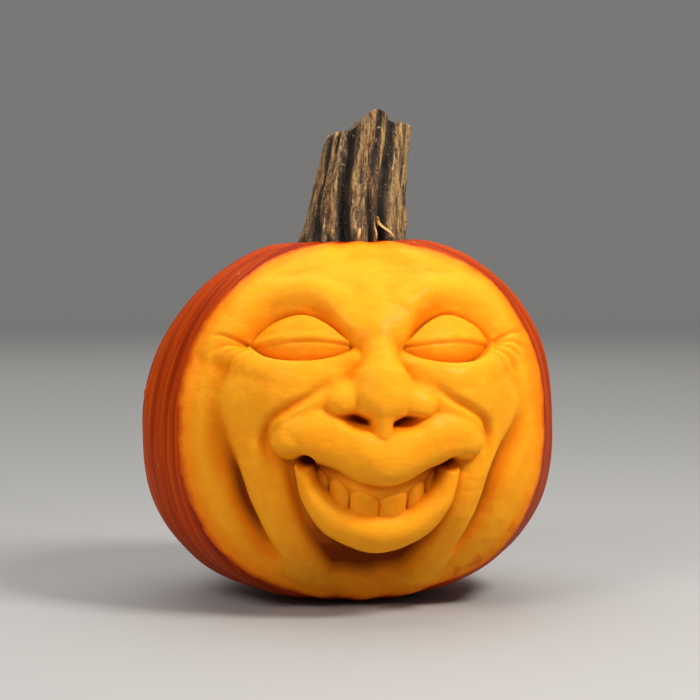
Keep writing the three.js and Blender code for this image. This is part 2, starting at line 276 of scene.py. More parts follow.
def lower_lip(u, v):
    """The thick lower lip, a deep U."""
    crest = [(44.5, -25, 6, -9.5), (37.5, -42, 8.5, -6.5), (22.5, -57.5, 12, -3.4), (0, -63.5, 14, -2.2)]
    crest += [(-22.5, -57.5, 12, -3.4)]
    return ridge(u, v, crest, 6.5, 0.9)


def teeth(u, v):
    """The row of teeth with their gums, and how far a point is inside the open mouth (0 to 1)."""
    lip_edge = -31 + 13 * (u / MOUTH_HALF) ** 2
    low_edge = -55 + 33 * (np.minimum(u, 50) / MOUTH_HALF) ** 2.2
    inside = np.minimum(np.minimum(lip_edge + 9 - v, v - low_edge + 9), MOUTH_HALF + 5 - u)
    arch = TOOTH_DEPTH - 9.5 * (u / 39) ** 2.2
    row = np.full(u.shape, FAR_BELOW)
    for across, half in TEETH:
        q = np.abs(u - across) / half
        gum_line = lip_edge - 13 + 7 * np.sqrt(np.clip(1 - q**2, 0, 1))
        tooth = arch + TOOTH_CROWN * (1 - q**2) - TOOTH_GAP * ease(0.86, 1.02, q)
        tooth = tooth - GUM_STEP * ease(gum_line - 1.4, gum_line + 0.8, v)
        row = np.where(q < 1.04, np.maximum(row, tooth), row)
    gum = arch - 0.6 + 0.9 * bell((v - lip_edge + 6) / 3) - 1.2 * ease(lip_edge - 12, lip_edge - 16, v)
    row = smooth_max(row, np.where(v > lip_edge - 14, gum, FAR_BELOW), 0.5)
    return np.maximum(row, arch - 3.6), ease(0, 3, inside)


# Cuts along rows of (across, up, strength).
LAUGH_WIDTH = 1.25
LAUGH_DEPTH = 1.9
LAUGH_LINES = (
    ((80, 52, 1), (90, 55.5, 0.8), (101, 55, 0.1)),
    ((80, 50.5, 1), (90, 49.5, 0.9), (100, 44, 0.1)),
    ((79, 49, 0.9), (88, 44, 0.9), (97, 35, 0.1)),
    ((77, 46, 0.9), (85, 39, 0.8), (92, 28, 0.1)),
    ((73, 42, 0.7), (79, 34, 0.6), (84, 25, 0.1)),
)
SMILE_WIDTH = 2.4
SMILE_DEPTH = 3.2
SMILE_CREASE = (
    (27, 24, 0.1), (33, 19.5, 0.6), (41, 14, 1), (51, 8.5, 1.1), (61, 2, 1.1), (65.5, -8, 1),
    (63.5, -19, 0.5), (59, -26, 0.1),
)
JOWL_WIDTH = 5.5
JOWL_DEPTH = 4
JOWL_CREASE = ((86, -8, 0.1), (86, -30, 0.6), (81, -52, 1), (71, -76, 0.9), (62, -95, 0.2))


def rim(settings, u, v, edge, right):
    """The smooth band inside the cut edge: narrower at the chin, wider low on the right."""
    chin = bell(u / 40) ** 1.5 * ease(-70, -105, v)
    width = settings.rim_width / M - RIM_NARROWER_AT_CHIN * chin + RIM_WIDER * right * (1 - chin)
    beyond = np.maximum(edge - width, 0)
    band = -settings.rim_depth / M * ease(-1, width + 1, edge)
    return band - (0.42 + 0.6 * chin) * beyond - 0.035 * beyond**2


def hole(u, v, across, up, wide, tall, depth):
    """How much a small deep hole takes away at a place."""
    return depth * bell(np.hypot((u - across) / wide, (v - up) / tall) ** 1.6)


def hand_drawn(across, v):
    """Bends the chart a little, so that no line of the face is as even as a ruler's."""
    across = across - 0.7 * np.sin(v / 33 + 0.4)
    return across, v + 1.3 * np.sin(across / 52 + 0.3) + 0.5 * np.sin(across / 17)


def relief(settings, across, v, edge):
    """Height of the carved surface at a place on the chart, edge millimetres inside the rind."""
    across, v = hand_drawn(across, v)
    u = np.sqrt(across**2 + 0.5)
    right = ease(15, 50, across) * ease(15, -35, v)
    fold_u = u * (1 + FOLD_NEARER * right)
    outer_fold, inner_fold = jowl_folds(fold_u, v)
    ground = -settings.carving_depth / M - CHIN_HOLLOW * bell(u / 40) ** 1.5 * bell((v + 98) / 24)
    band = rim(settings, u, v, edge, right)
    height = merged(forehead(u, v), (ground, 4), (outer_fold, 8), (inner_fold, 3), (cheeks(u, v), 4))
    height = smooth_max(height, band, 7 + 5 * ease(-25, 30, v))
    height = height + groove(u, v, SMILE_CREASE, SMILE_WIDTH, SMILE_DEPTH)
    height = height + groove(fold_u, v, JOWL_CREASE, JOWL_WIDTH, JOWL_DEPTH)
    lids, outside = closed_eye(u, v)
    height = height + (lids - height) * ease(0.7, -0.7, outside)
    height = height - LID_EDGE_CUT * bell(outside - 0.1) * (0.15 + 0.85 * ease(46, 54, v))
    height = smooth_max(height, nose(u, v), 2.5)
    row, in_mouth = teeth(u, v)
    height = height + (row - height) * in_mouth
    height = merged(height, (lower_lip(u, v), 1.2), (upper_lip(u, v), 1.2))
    sloped = v - NOSTRIL_SLOPE * (u - NOSTRIL[0])
    height = height - hole(u, v, *MOUTH_CORNER) - hole(u, sloped, *NOSTRIL)
    for line in LAUGH_LINES:
        height = height + groove(u, v, line, LAUGH_WIDTH, LAUGH_DEPTH)
    return smooth_min(height, RIND_LIP, 0.8) * ease(-0.5, 8, edge)


# ---- The pumpkin's surface


def unit(places):
    """The directions of places from the middle."""
    return places / np.linalg.norm(places, axis=1)[:, None]


def rind_distance(direction):
    """Distance from the pumpkin's middle to its rind along each direction."""
    level = np.hypot(direction[:, 0], direction[:, 1]) + 1e-9
    up = direction[:, 2] > 0
    tall = np.where(up, CROWN_HEIGHT, BASE_DEPTH)
    power = np.where(up, UPPER_SQUARENESS + LOPSIDED * direction[:, 0] / level, LOWER_SQUARENESS)
    plain = ((level / GIRTH_RADIUS) ** power + (np.abs(direction[:, 2]) / tall) ** power) ** (-1 / power)
    around = np.arctan2(direction[:, 0], -direction[:, 1])
    ribs = np.cos(RIB_COUNT * around + 0.8 * np.sin(2 * around))
    return plain + RIB_DEPTH * ribs * level**0.7


def chart(direction):
    """Place on the face's chart, and distance inside the cut edge, for each direction."""
    angle = np.arccos(np.clip(direction @ FACE_FORWARD, -1, 1))
    right, up = direction[:, 0], direction @ FACE_UP
    turn = np.arctan2(up, right)
    field = FIELD_ANGLE + FIELD_TALLER * np.abs(np.sin(turn)) ** 3
    field = field - FIELD_LESS_RIGHT * bell((turn - 0.25) / 0.8)
    for waves, shift, sway in FIELD_SWAY:
        field = field + sway * np.sin(waves * turn + shift)
    arc = ARC * angle / (np.hypot(right, up) + 1e-9)
    return arc * right, arc * up, (field - angle) * ARC


def carve(settings, direction):
    """Places of the surface, with their heights against the rind and distances inside the cut edge."""
    across, up, edge = chart(direction)
    height = np.zeros(len(direction))
    cut = edge > -0.6
    height[cut] = relief(settings, across[cut], up[cut], edge[cut])
    return direction * (rind_distance(direction) + height)[:, None], height, edge


# ---- Working on meshes


def deselect_all():
    """Leaves edit mode and selects nothing."""
    if bpy.context.object and bpy.context.object.mode != "OBJECT":
        bpy.ops.object.mode_set(mode="OBJECT")
    bpy.ops.object.select_all(action="DESELECT")


def rows_of(items, name, width, kind=float):
    """One property of all of a mesh's vertices, edges or faces, a row for each."""
    values = np.empty(len(items) * width, kind)
    items.foreach_get(name, values)
    return values.reshape(-1, width)


def places_of(piece):
    """The places of a piece's vertices."""
    return rows_of(piece.data.vertices, "co", 3)


def move_to(piece, places):
    """Puts a piece's vertices at new places."""
    piece.data.vertices.foreach_set("co", np.asarray(places, float).ravel())
    piece.data.update()


def middles_of(piece):
    """The middle of each face."""
    return rows_of(piece.data.polygons, "center", 3)


def edit(piece, kind, chosen):
    """Goes into edit mode with just these edges, or just these polygons, selected."""
    bpy.context.tool_settings.mesh_select_mode = (False, kind == "edges", kind == "polygons")
    for part in ("vertices", "edges", "polygons"):
        items = getattr(piece.data, part)
        items.foreach_set("select", chosen if part == kind else np.zeros(len(items), bool))
    bpy.ops.object.mode_set(mode="EDIT")


def leave_edit():
    """Goes back to object mode, which writes the edits to the mesh."""
    bpy.ops.object.mode_set(mode="OBJECT")


def ends_of_edges(piece):
    """The two vertices of each edge."""
    return rows_of(piece.data.edges, "vertices", 2, np.int32)


def mean_of_neighbours(values, ends):
    """Each vertex's mean over the vertices that it shares an edge with."""
    count = np.bincount(ends.ravel(), minlength=len(values))
    total = np.empty_like(values)
    for k in range(values.shape[1]):
        total[:, k] = np.bincount(ends[:, 0], values[ends[:, 1], k], len(values))
        total[:, k] += np.bincount(ends[:, 1], values[ends[:, 0], k], len(values))
    return total / count[:, None]


def face_outwards(piece):
    """Turns all of a closed piece's faces outwards."""
    edit(piece, "polygons", np.ones(len(piece.data.polygons), bool))
    bpy.ops.mesh.normals_make_consistent(inside=False)
    leave_edit()


def add_ringed_cylinder(sides, rings, end_fill):
    """A cylinder of radius 1 and height 1 whose side is cut into rings, ready to be shaped."""
    deselect_all()
    bpy.ops.mesh.primitive_cylinder_add(vertices=sides, radius=1, depth=1, end_fill_type=end_fill)
    piece = bpy.context.object
    heights = places_of(piece)[ends_of_edges(piece), 2]
    edit(piece, "edges", np.abs(heights[:, 0] - heights[:, 1]) > 0.5)
    bpy.ops.mesh.subdivide(number_cuts=rings)
    leave_edit()
    return piece


def keep_attributes(piece, **kinds):
    """Stores numbers for each vertex, which the finish reads by name."""
    for name, values in kinds.items():
        attribute = piece.data.attributes.new(name, "FLOAT", "POINT")
        attribute.data.foreach_set("value", np.asarray(values, np.float32))


def noise_at(places, size, seed):
    """Smooth noise from about -1 to 1 whose lumps are about size across."""
    shift = Vector((seed * 17.3, seed * 5.1, seed * 9.7))
    return np.array([noise.noise(Vector(place) / size + shift) for place in places])


def finish_piece(piece, name, node, material):
    """Names the selected piece, gives it its material and puts it in the frame."""
    piece.name = piece.data.name = name
    piece.data.materials.append(material)
    bpy.ops.object.shade_smooth()
    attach(piece, "root")
    if node:
        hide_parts(node)


# ---- Making the pumpkin

FRONT_FOCUS = 0.5
SEAT_DIP = 4.6
SEAT_RADIUS = 38
# Where the faces are halved, on both sides: across, up, half width and half height.
FINE_ZONES = ((EYE_ACROSS + 5, 50, 44, 27), (0, -25, 66, 44), (0, 14, 40, 24))
# Warts on the rind: place, height and radius.
WARTS = (((-118, -12, 22), 1.6, 3.2), ((-117, -20, 12), 0.9, 2.4))
# How strongly the lips and the tip of the nose hang.
HANG = 0.20


def crowd_to_front(direction):
    """Draws a ball's vertices together towards -Y without stretching its faces."""
    angle = np.arccos(np.clip(-direction[:, 1], -1, 1))
    drawn = 2 * np.arctan(FRONT_FOCUS * np.tan(angle / 2))
    across = np.hypot(direction[:, 0], direction[:, 2]) + 1e-12
    scale = np.sin(drawn) / across
    return np.stack([direction[:, 0] * scale, -np.cos(drawn), direction[:, 2] * scale], axis=1)


def in_fine_zone(direction):
    """Whether a place lies among the eyes, nose, mouth and teeth, where the faces are made finer."""
    across, up, _edge = chart(direction)
    found = np.zeros(len(direction), bool)
    for zone_across, zone_up, wide, tall in FINE_ZONES:
        found |= np.hypot((np.abs(across) - zone_across) / wide, (up - zone_up) / tall) < 1
    return found


def relaxed(settings, direction, ends):
    """Spreads the vertices evenly over the carved surface, so that steep walls get their share."""
    for _ in range(settings.relax_steps):
        place, _height, _edge = carve(settings, direction)
        direction = unit(place + 0.6 * (mean_of_neighbours(place, ends) - place))
    return direction


def hand_cut(place, direction, edge):
    """Small unevenness: faint swellings all over, knife marks on the flesh and warts on the rind."""
    bumps = 0.75 * noise_at(place, 30, 1)
    bumps += (0.34 * noise_at(place, 9, 2) + 0.10 * noise_at(place, 4, 7)) * ease(2, 10, edge)
    for middle, high, radius in WARTS:
        bumps += high * bell(np.linalg.norm(place - np.array(middle), axis=1) / radius)
    return direction * bumps[:, None]


def seat_dip(level):
    """How far the crown is sunk under the stalk, at a distance from the middle."""
    return SEAT_DIP * np.exp(-((level / SEAT_RADIUS) ** 4))


def settle(place, height):
    """Bends the lips and nose down a little, sinks the seat of the stalk and flattens the foot."""
    place = place.copy()
    across, up, edge = chart(unit(place))
    hang = ease(60, 20, np.abs(across)) * ease(28, 18, up) * ease(-50, -36, up) * (edge > 0)
    place[:, 2] -= HANG * np.maximum(height + 14, 0) * hang
    level = np.hypot(place[:, 0], place[:, 1])
    crown = place[:, 2] > 0.5 * CROWN_HEIGHT
    place[:, 2] -= np.where(crown, seat_dip(level), 0)
    foot = np.full(len(place), -MIDDLE)
    return np.column_stack([place[:, :2], np.maximum(smooth_max(place[:, 2], foot, 1), foot)])


def make_pumpkin(settings):
    """Carves a ball into the pumpkin."""
    deselect_all()
    bpy.ops.mesh.primitive_ico_sphere_add(subdivisions=settings.detail, radius=1)
    piece = bpy.context.object
    move_to(piece, crowd_to_front(unit(places_of(piece))))
    edit(piece, "polygons", in_fine_zone(unit(middles_of(piece))))
    bpy.ops.mesh.subdivide(number_cuts=1)
    bpy.ops.mesh.select_all(action="SELECT")
    bpy.ops.mesh.quads_convert_to_tris()
    leave_edit()
    ends = ends_of_edges(piece)
    direction = relaxed(settings, unit(places_of(piece)), ends)
    place, height, edge = carve(settings, direction)
    place = settle(place + hand_cut(place, direction, edge), height)
    # How far each place lies in a fold. The finish paints shade there from it.
    level = height[:, None]
    for _ in range(settings.hollow_steps):
        level = mean_of_neighbours(level, ends)
    hollow = np.where(edge > 4, level[:, 0] - height, 0)
    keep_attributes(piece, inside=edge, depth=-height, hollow=hollow)
    move_to(piece, (place + np.array([0, 0, MIDDLE])) * M)
    face_outwards(piece)
    finish_piece(piece, "carved_pumpkin", "pumpkin", pumpkin_finish(settings))


# ---- Making the stalk

STALK_SIDES = 360
STALK_RINGS = 120
STALK_CAP_RINGS = 11
STALK_HEIGHT = STALK_HIGH.z - STALK_LOW.z
STALK_BASE_X = 3.5
STALK_BASE_RADIUS = 30.5
STALK_TOP_RADIUS = 25.8
# The furrows between the ribs: degrees round from the front, depth and half width in degrees.
FURROWS = (
    (-20, 6, 7), (24, 5, 5.5), (9, 2.2, 3.2), (-37, 1.6, 3.4), (-52, 2.8, 5), (-78, 2, 5),
    (47, 1.2, 3), (68, 2, 4.5), (96, 5, 6.5), (120, 1.8, 4), (143, 4.6, 6.5), (170, 1.9, 4.5),
    (-104, 5.2, 6.5), (-130, 2.2, 4.5), (-155, 4.8, 7),
)
FURROW_STRENGTH = 1.25
# Height of the broken top across the stalk, in millimetres from its axis and down from the peak.
TOP_ACROSS = (-26, -22, -14, -9, -4, 1.5, 7, 12, 20, 25)
TOP_BELOW = (-17, -14, -12.4, -8, -2.6, 0, -4.6, -8, -8.6, -12)


def crown_at(x, y):
    """Height of the pumpkin's top under a place, above the middle of the pumpkin."""
    level = np.hypot(x, y)
    rind = CROWN_HEIGHT * (1 - (level / GIRTH_RADIUS) ** UPPER_SQUARENESS) ** (1 / UPPER_SQUARENESS)
    return rind - seat_dip(level)


def furrow_depth(around, share):
    """How deep the furrows are at an angle round the stalk. They deepen between the toes at its base."""
    turned = np.degrees(around) + share * (8.5 - 15 * np.sin(around)) + 2.5 * np.sin(5 * share)
    depth = np.zeros(around.shape)
    for middle, deep, half in FURROWS:
        away = (turned - middle + 180) % 360 - 180
        depth += FURROW_STRENGTH * deep * bell(away / half) * (0.85 + 0.6 * bell(share / 0.16))
    return depth


def stalk_axis(settings, share):
    """How far right the stalk's axis is at a share of its height."""
    return STALK_BASE_X + settings.lean / M * share**1.3


def stalk_outline(settings, around, share):
    """The stalk's radius without its furrows."""
    plain = STALK_BASE_RADIUS + (STALK_TOP_RADIUS - STALK_BASE_RADIUS) * share**0.9
    lobes = 0.9 * np.cos(2 * around + 0.5) + 0.7 * np.cos(5 * around - 7 * share + 1.1)
    return plain + settings.flare / M * (1 - share) ** 5 + lobes


def shape_stalk(settings, start):
    """Places of the stalk for a plain cylinder's, with their rib height, share of height and of radius."""
    share = start[:, 2] + 0.5
    around = np.arctan2(start[:, 0], -start[:, 1])
    reach = np.clip(np.hypot(start[:, 0], start[:, 1]), 0, 1)
    furrow = furrow_depth(around, share)
    outline = stalk_outline(settings, around, share)
    fibre_place = np.column_stack([outline * np.cos(around), outline * np.sin(around), 3 * share])
    fibres = 0.85 * noise_at(fibre_place, 3.4, 3) + 0.60 * noise_at(fibre_place, 1.6, 4)
    fibres += 0.45 * noise_at(fibre_place * (1, 1, 8), 5, 5)
    rib = fibres - furrow
    radius = (outline + rib * ease(0.3, 1, reach)) * reach
    x, y = radius * np.sin(around), -radius * np.cos(around)
    top = STALK_HEIGHT - 1.2 + np.interp(x, TOP_ACROSS, TOP_BELOW) - 3 * ease(2, 24, y)
    jagged = 0.9 * noise_at(np.column_stack([x, y, 0 * x]), 3, 6) - 0.25 * furrow
    top = top + jagged - 2.6 * ease(0.92, 0.55, reach) * ease(0.9, 1, share)
    axis = stalk_axis(settings, share)
    base = MIDDLE + crown_at(x + axis, y) - 0.4
    z = base + share * (STALK_LOW.z + top - base)
    return np.column_stack([x + axis, y, z]), rib, share, reach


def edit_end(piece, side):
    """Goes into edit mode with the middle face of the upper (1) or lower (-1) end selected."""
    middles = middles_of(piece)
    in_middle = np.hypot(middles[:, 0], middles[:, 1]) < 0.01
    edit(piece, "polygons", (middles[:, 2] * side > 0.49) & in_middle)


def make_stalk(settings):
    """Shapes a cylinder with ringed ends into the ribbed stalk with its broken top."""
    piece = add_ringed_cylinder(STALK_SIDES, STALK_RINGS, "NGON")
    for side in (1, -1):
        for _ in range(STALK_CAP_RINGS):
            edit_end(piece, side)
            bpy.ops.mesh.inset(thickness=0.96 / STALK_CAP_RINGS)
            leave_edit()
        edit_end(piece, side)
        bpy.ops.mesh.poke()
        leave_edit()
    place, rib, share, reach = shape_stalk(settings, places_of(piece))
    keep_attributes(piece, rib=rib, share=share, reach=reach)
    move_to(piece, place * M)
    face_outwards(piece)
    finish_piece(piece, "ribbed_stalk", "stalk", stalk_finish(settings))


# Loose fibres: where each starts and ends round the stalk (degrees, share of height), how far it
# stands off in the middle, and its thickness in millimetres.
FIBRES = (
    (17, 0.19, 36, 0.01, 2, 2.6),
    (-4, 0.09, -5, 0, 0.9, 1.6),
    (13, 0.10, 15, 0, 0.7, 1),
    (118, 0.14, 104, 0, 1.6, 2),
    (-140, 0.13, -128, 0, 1.6, 2),
)
FIBRE_SIDES = 10
FIBRE_RINGS = 16


def stalk_side(settings, degrees, share, lift):
    """Places on the stalk's side, lifted off it by some millimetres."""
    around = np.radians(degrees)
    radius = stalk_outline(settings, around, share) - furrow_depth(around, share) + lift
    x = stalk_axis(settings, share) + radius * np.sin(around)
    return np.column_stack([x, -radius * np.cos(around), STALK_LOW.z + share * (STALK_HEIGHT - 8)])


def make_fibre(settings, start_round, start_share, end_round, end_share, lift, thick):
    """One loose fibre: a thin tapered strand, bowed away from the stalk."""
    strand = add_ringed_cylinder(FIBRE_SIDES, FIBRE_RINGS, "TRIFAN")
    places = places_of(strand)
    t = places[:, 2] + 0.5
    degrees = start_round + (end_round - start_round) * t
    share = start_share + (end_share - start_share) * t
    line = stalk_side(settings, degrees, share, lift * np.sin(np.pi * t) + 0.4 * thick)
    radius = 0.5 * thick * (0.25 + 0.75 * np.sin(np.pi * np.clip(0.12 + 0.8 * t, 0, 1)))
    outward = unit(line * (1, 1, 0) - np.array([STALK_BASE_X, 0, 0]))
    sideways = np.column_stack([-outward[:, 1], outward[:, 0], np.zeros(len(t))])
    moved = line + radius[:, None] * (0.6 * places[:, :1] * outward + 1.2 * places[:, 1:2] * sideways)
    move_to(strand, moved * M)
    return strand


def make_fibres(settings):
    """Makes the loose fibres and joins them into one piece."""
    strands = [make_fibre(settings, *row) for row in FIBRES]
    deselect_all()
    for strand in strands:
        strand.select_set(True)
    bpy.context.view_layer.objects.active = strands[0]
    bpy.ops.object.join()
    piece = bpy.context.object
    face_outwards(piece)
    finish_piece(piece, "stalk_fibres", None, fibre_finish(settings))


# ---- Finishes

FLECK = (0.80, 0.40, 0.13)
CORK_DARK = (0.16, 0.085, 0.04)
CORK_LIGHT = (0.46, 0.30, 0.16)
GREY_BARK = (0.16, 0.125, 0.085)
PALE_SPECK = (0.62, 0.47, 0.28)
PALE_CRUST = (0.66, 0.50, 0.30)
DARK_FOOT = (0.055, 0.05, 0.03)
PITH_LIGHT = (0.30, 0.16, 0.06)
PITH_DARK = (0.09, 0.05, 0.025)
SPLIT_WOOD = (0.70, 0.42, 0.12)


class Value:
    """A number or colour inside a finish. Sums on numbers add Math nodes."""

    def __init__(self, finish, socket):
        self.finish = finish
        self.socket = socket

    def maths(self, operation, *values):
        """Adds a Math node on some values."""
        return self.finish.node("Math", {"operation": operation}, dict(enumerate(values)))

    def __add__(self, other):
        return self.maths("ADD", self, other)

    def __mul__(self, other):
        return self.maths("MULTIPLY", self, other)

    def __sub__(self, other):
        return self.maths("SUBTRACT", self, other)

    def __rsub__(self, other):
        return self.maths("SUBTRACT", other, self)

    def __truediv__(self, other):
        return self.maths("DIVIDE", self, other)

    def __pow__(self, other):
        return self.maths("POWER", self, other)

    __radd__ = __add__
    __rmul__ = __mul__

    def eased(self, low, high, first=0, last=1):
        """Rises smoothly from first at low to last at high."""
        values = {"Value": self, "From Min": low, "From Max": high, "To Min": first, "To Max": last}
        return self.finish.node("MapRange", {"interpolation_type": "SMOOTHSTEP"}, values)


class Finish:
    """A procedural material in the making."""

    def __init__(self, name):
        self.material = bpy.data.materials.new(name)
        self.material.use_nodes = True
        self.tree = self.material.node_tree
        self.shader = self.tree.nodes["Principled BSDF"]
        self.place = self.node("TexCoord", output="Object")

    def node(self, kind, settings=None, values=None, output=0):
        """Adds a node with its settings, then the values or links of its sockets."""
        made = self.tree.nodes.new("ShaderNode" + kind)
        for name, choice in (settings or {}).items():
            setattr(made, name, choice)
        self.feed(made, values or {})
        return Value(self, made.outputs[output])

    def feed(self, made, values):
        """Links or sets a node's sockets. A colour gets its opacity here."""
        for name, value in values.items():
            socket = made.inputs[name]
            if isinstance(value, Value):
                self.tree.links.new(value.socket, socket)
            else:
                socket.default_value = (*value, 1) if socket.type == "RGBA" else value

    def shade(self, **values):
        """Feeds the shader's own sockets, named with _ for a space."""
        self.feed(self.shader, {name.replace("_", " "): value for name, value in values.items()})

    def attribute(self, name):
        """One of the numbers that are stored on the piece."""
        return self.node("Attribute", {"attribute_name": name}, output="Fac")

    def speckle(self, place, scale, detail=3, roughness=0.55):
        """Noise from 0 to 1."""
        values = {"Vector": place, "Scale": scale, "Detail": detail, "Roughness": roughness}
        return self.node("TexNoise", None, values)

    def along(self, axis):
        """One object coordinate, in metres."""
        return self.node("SeparateXYZ", None, {"Vector": self.place}, output=axis)

    def stretched(self, factors):
        """Object coordinates stretched by three factors."""
        return self.node("VectorMath", {"operation": "MULTIPLY"}, {0: self.place, 1: factors})

    def cells(self, feature, place, scale):
        """Distance from the middles of scattered cells."""
        return self.node("TexVoronoi", {"feature": feature}, {"Vector": place, "Scale": scale})

    def mixed(self, share, first, second):
        """A colour between two, by a share from 0 to 1."""
        colours = {"Factor": share, "A": first, "B": second}
        return self.node("Mix", {"data_type": "RGBA", "clamp_factor": True}, colours, output="Result")

    def layered(self, shade, *layers):
        """A colour with layers of (share, colour) laid over it in order."""
        for share, over in layers:
            shade = self.mixed(share, shade, over)
        return shade

    def bump(self, height, distance):
        """A relief that is distance metres deep where height goes from 0 to 1."""
        return self.node("Bump", None, {"Height": height, "Distance": distance, "Strength": 1})


def rind_streaks(finish):
    """Noise in broad and in fine streaks that run from stalk to foot, and the round spot underneath."""
    x, y, z = (finish.along(axis) for axis in "XYZ")
    level = (x * x + y * y) ** 0.5
    spread = level + 0.004
    around = finish.node("CombineXYZ", None, {"X": x / spread, "Y": y / spread, "Z": z * 0.3})
    broad = finish.speckle(around, 9, 2)
    fine = finish.speckle(around, 38, 2, 0.6)
    underneath = level.eased(0.026, 0.012) * z.eased(0.012, 0.004)
    return broad, fine, underneath


def rind_colour(finish, settings):
    """Deep orange rind with darker and brighter streaks, pale flecks and a corky spot underneath."""
    broad, fine, underneath = rind_streaks(finish)
    patches = finish.speckle(finish.stretched((1, 1, 0.4)), 14)
    sparse = finish.speckle(finish.place, 60, 1).eased(0.56, 0.66)
    flecks = finish.cells("F1", finish.stretched((1, 1, 0.45)), 105).eased(0.16, 0.08) * sparse
    cork = finish.speckle(finish.place, 320, 4, 0.7)
    shade = finish.layered(
        settings.rind_dark,
        (broad.eased(0.35, 0.68), settings.rind),
        (fine.eased(0.45, 0.72, 0, 0.55), settings.rind_bright),
        (fine.eased(0.42, 0.28, 0, 0.6), settings.rind_dark),
        (patches.eased(0.5, 0.75, 0, 0.3), settings.rind_dark),
        (flecks * 0.75, FLECK),
        (underneath, finish.mixed(cork.eased(0.35, 0.65), CORK_DARK, CORK_LIGHT)),
    )
    return shade, fine, flecks


def flesh_colour(finish, settings):
    """Golden flesh with its own mottling, grain and strokes, and painted shade: deeper and more orange
    where the cut goes deep or into a fold, and darkest in the deepest cuts.
    """
    depth, hollow = finish.attribute("depth"), finish.attribute("hollow")
    clouds = finish.speckle(finish.place, 34)
    grain = finish.speckle(finish.place, 190, 4, 0.6)
    strokes = finish.speckle(finish.stretched((0.22, 0.6, 1)), 260, 3, 0.6)
    # Share of the orange flesh: painted shade by depth and in folds, plus the flesh's own mottling, grain
    # and strokes.
    deep = depth.eased(3, 16, 0, 0.6) + hollow.eased(-0.8, 3, -0.05, 0.7)
    deep = deep + clouds.eased(0.3, 0.75, -0.20, 0.34) + grain.eased(0.3, 0.7, -0.07, 0.10)
    deep = deep + strokes.eased(0.32, 0.68, 0.10, -0.13)
    flesh = finish.mixed(deep, settings.flesh, settings.flesh_mottle_and_painted_shade)
    # Painted shade: near brown in the deepest cuts and folds.
    painted_shade_share = depth.eased(11, 22, 0, 0.95) + hollow.eased(1.5, 6, 0, 0.5)
    return finish.mixed(painted_shade_share, flesh, settings.deep_cut_painted_shade), grain, strokes


def pumpkin_finish(settings):
    """One finish for the whole pumpkin: rind outside the cut edge, a red-orange line, then flesh."""
    finish = Finish("pumpkin_flesh_and_rind")
    inside = finish.attribute("inside")
    wander = finish.speckle(finish.place, 75, 4, 0.65)
    inside = inside + wander.eased(0.25, 0.75, -1.6, 1.6)
    rind, streaks, flecks = rind_colour(finish, settings)
    flesh, grain, strokes = flesh_colour(finish, settings)
    edge = finish.mixed(inside.eased(0.4, 5), settings.under_rind, settings.rim)
    cut = finish.mixed(inside.eased(3, 13), edge, flesh)
    x, z = finish.along("X"), finish.along("Z")
    scrapes = finish.speckle(finish.stretched((1, 1, 0.3)), 150, 3, 0.6).eased(0.53, 0.62)
    low_right = z.eased(0.062, 0.030) * x.eased(0.018, 0.040)
    scrapes = scrapes * low_right * inside.eased(15, 4) * 0.7
    cut = finish.mixed(scrapes, cut, settings.under_rind)
    is_flesh = inside.eased(-0.3, 0.9)
    base = finish.mixed(is_flesh, rind, cut)
    rough_flesh = grain.eased(0.3, 0.7, 0.46, 0.60)
    rough_rind = streaks.eased(0.35, 0.7, 0.44, 0.58)
    roughness = rough_rind + (rough_flesh - rough_rind) * is_flesh
    knife = finish.cells("SMOOTH_F1", finish.place, 85)
    pores = finish.speckle(finish.place, 900, 3, 0.6)
    flesh_relief = knife * 0.5 + grain * 0.5 + strokes * 0.5 + pores * 0.25
    rind_relief = streaks * 0.7 + pores * 0.12 + flecks * 0.5
    relief_height = rind_relief + (flesh_relief - rind_relief) * is_flesh
    finish.shade(
        Base_Color=base,
        Roughness=roughness,
        Coat_Weight=0.04 * is_flesh,
        Coat_Roughness=0.28,
        Specular_IOR_Level=0.03,
        Subsurface_Weight=settings.glow,
        Subsurface_Radius=(1, 0.36, 0.08),
        Subsurface_Scale=0.006,
        Normal=finish.bump(relief_height, 0.0006),
    )
    return finish.material


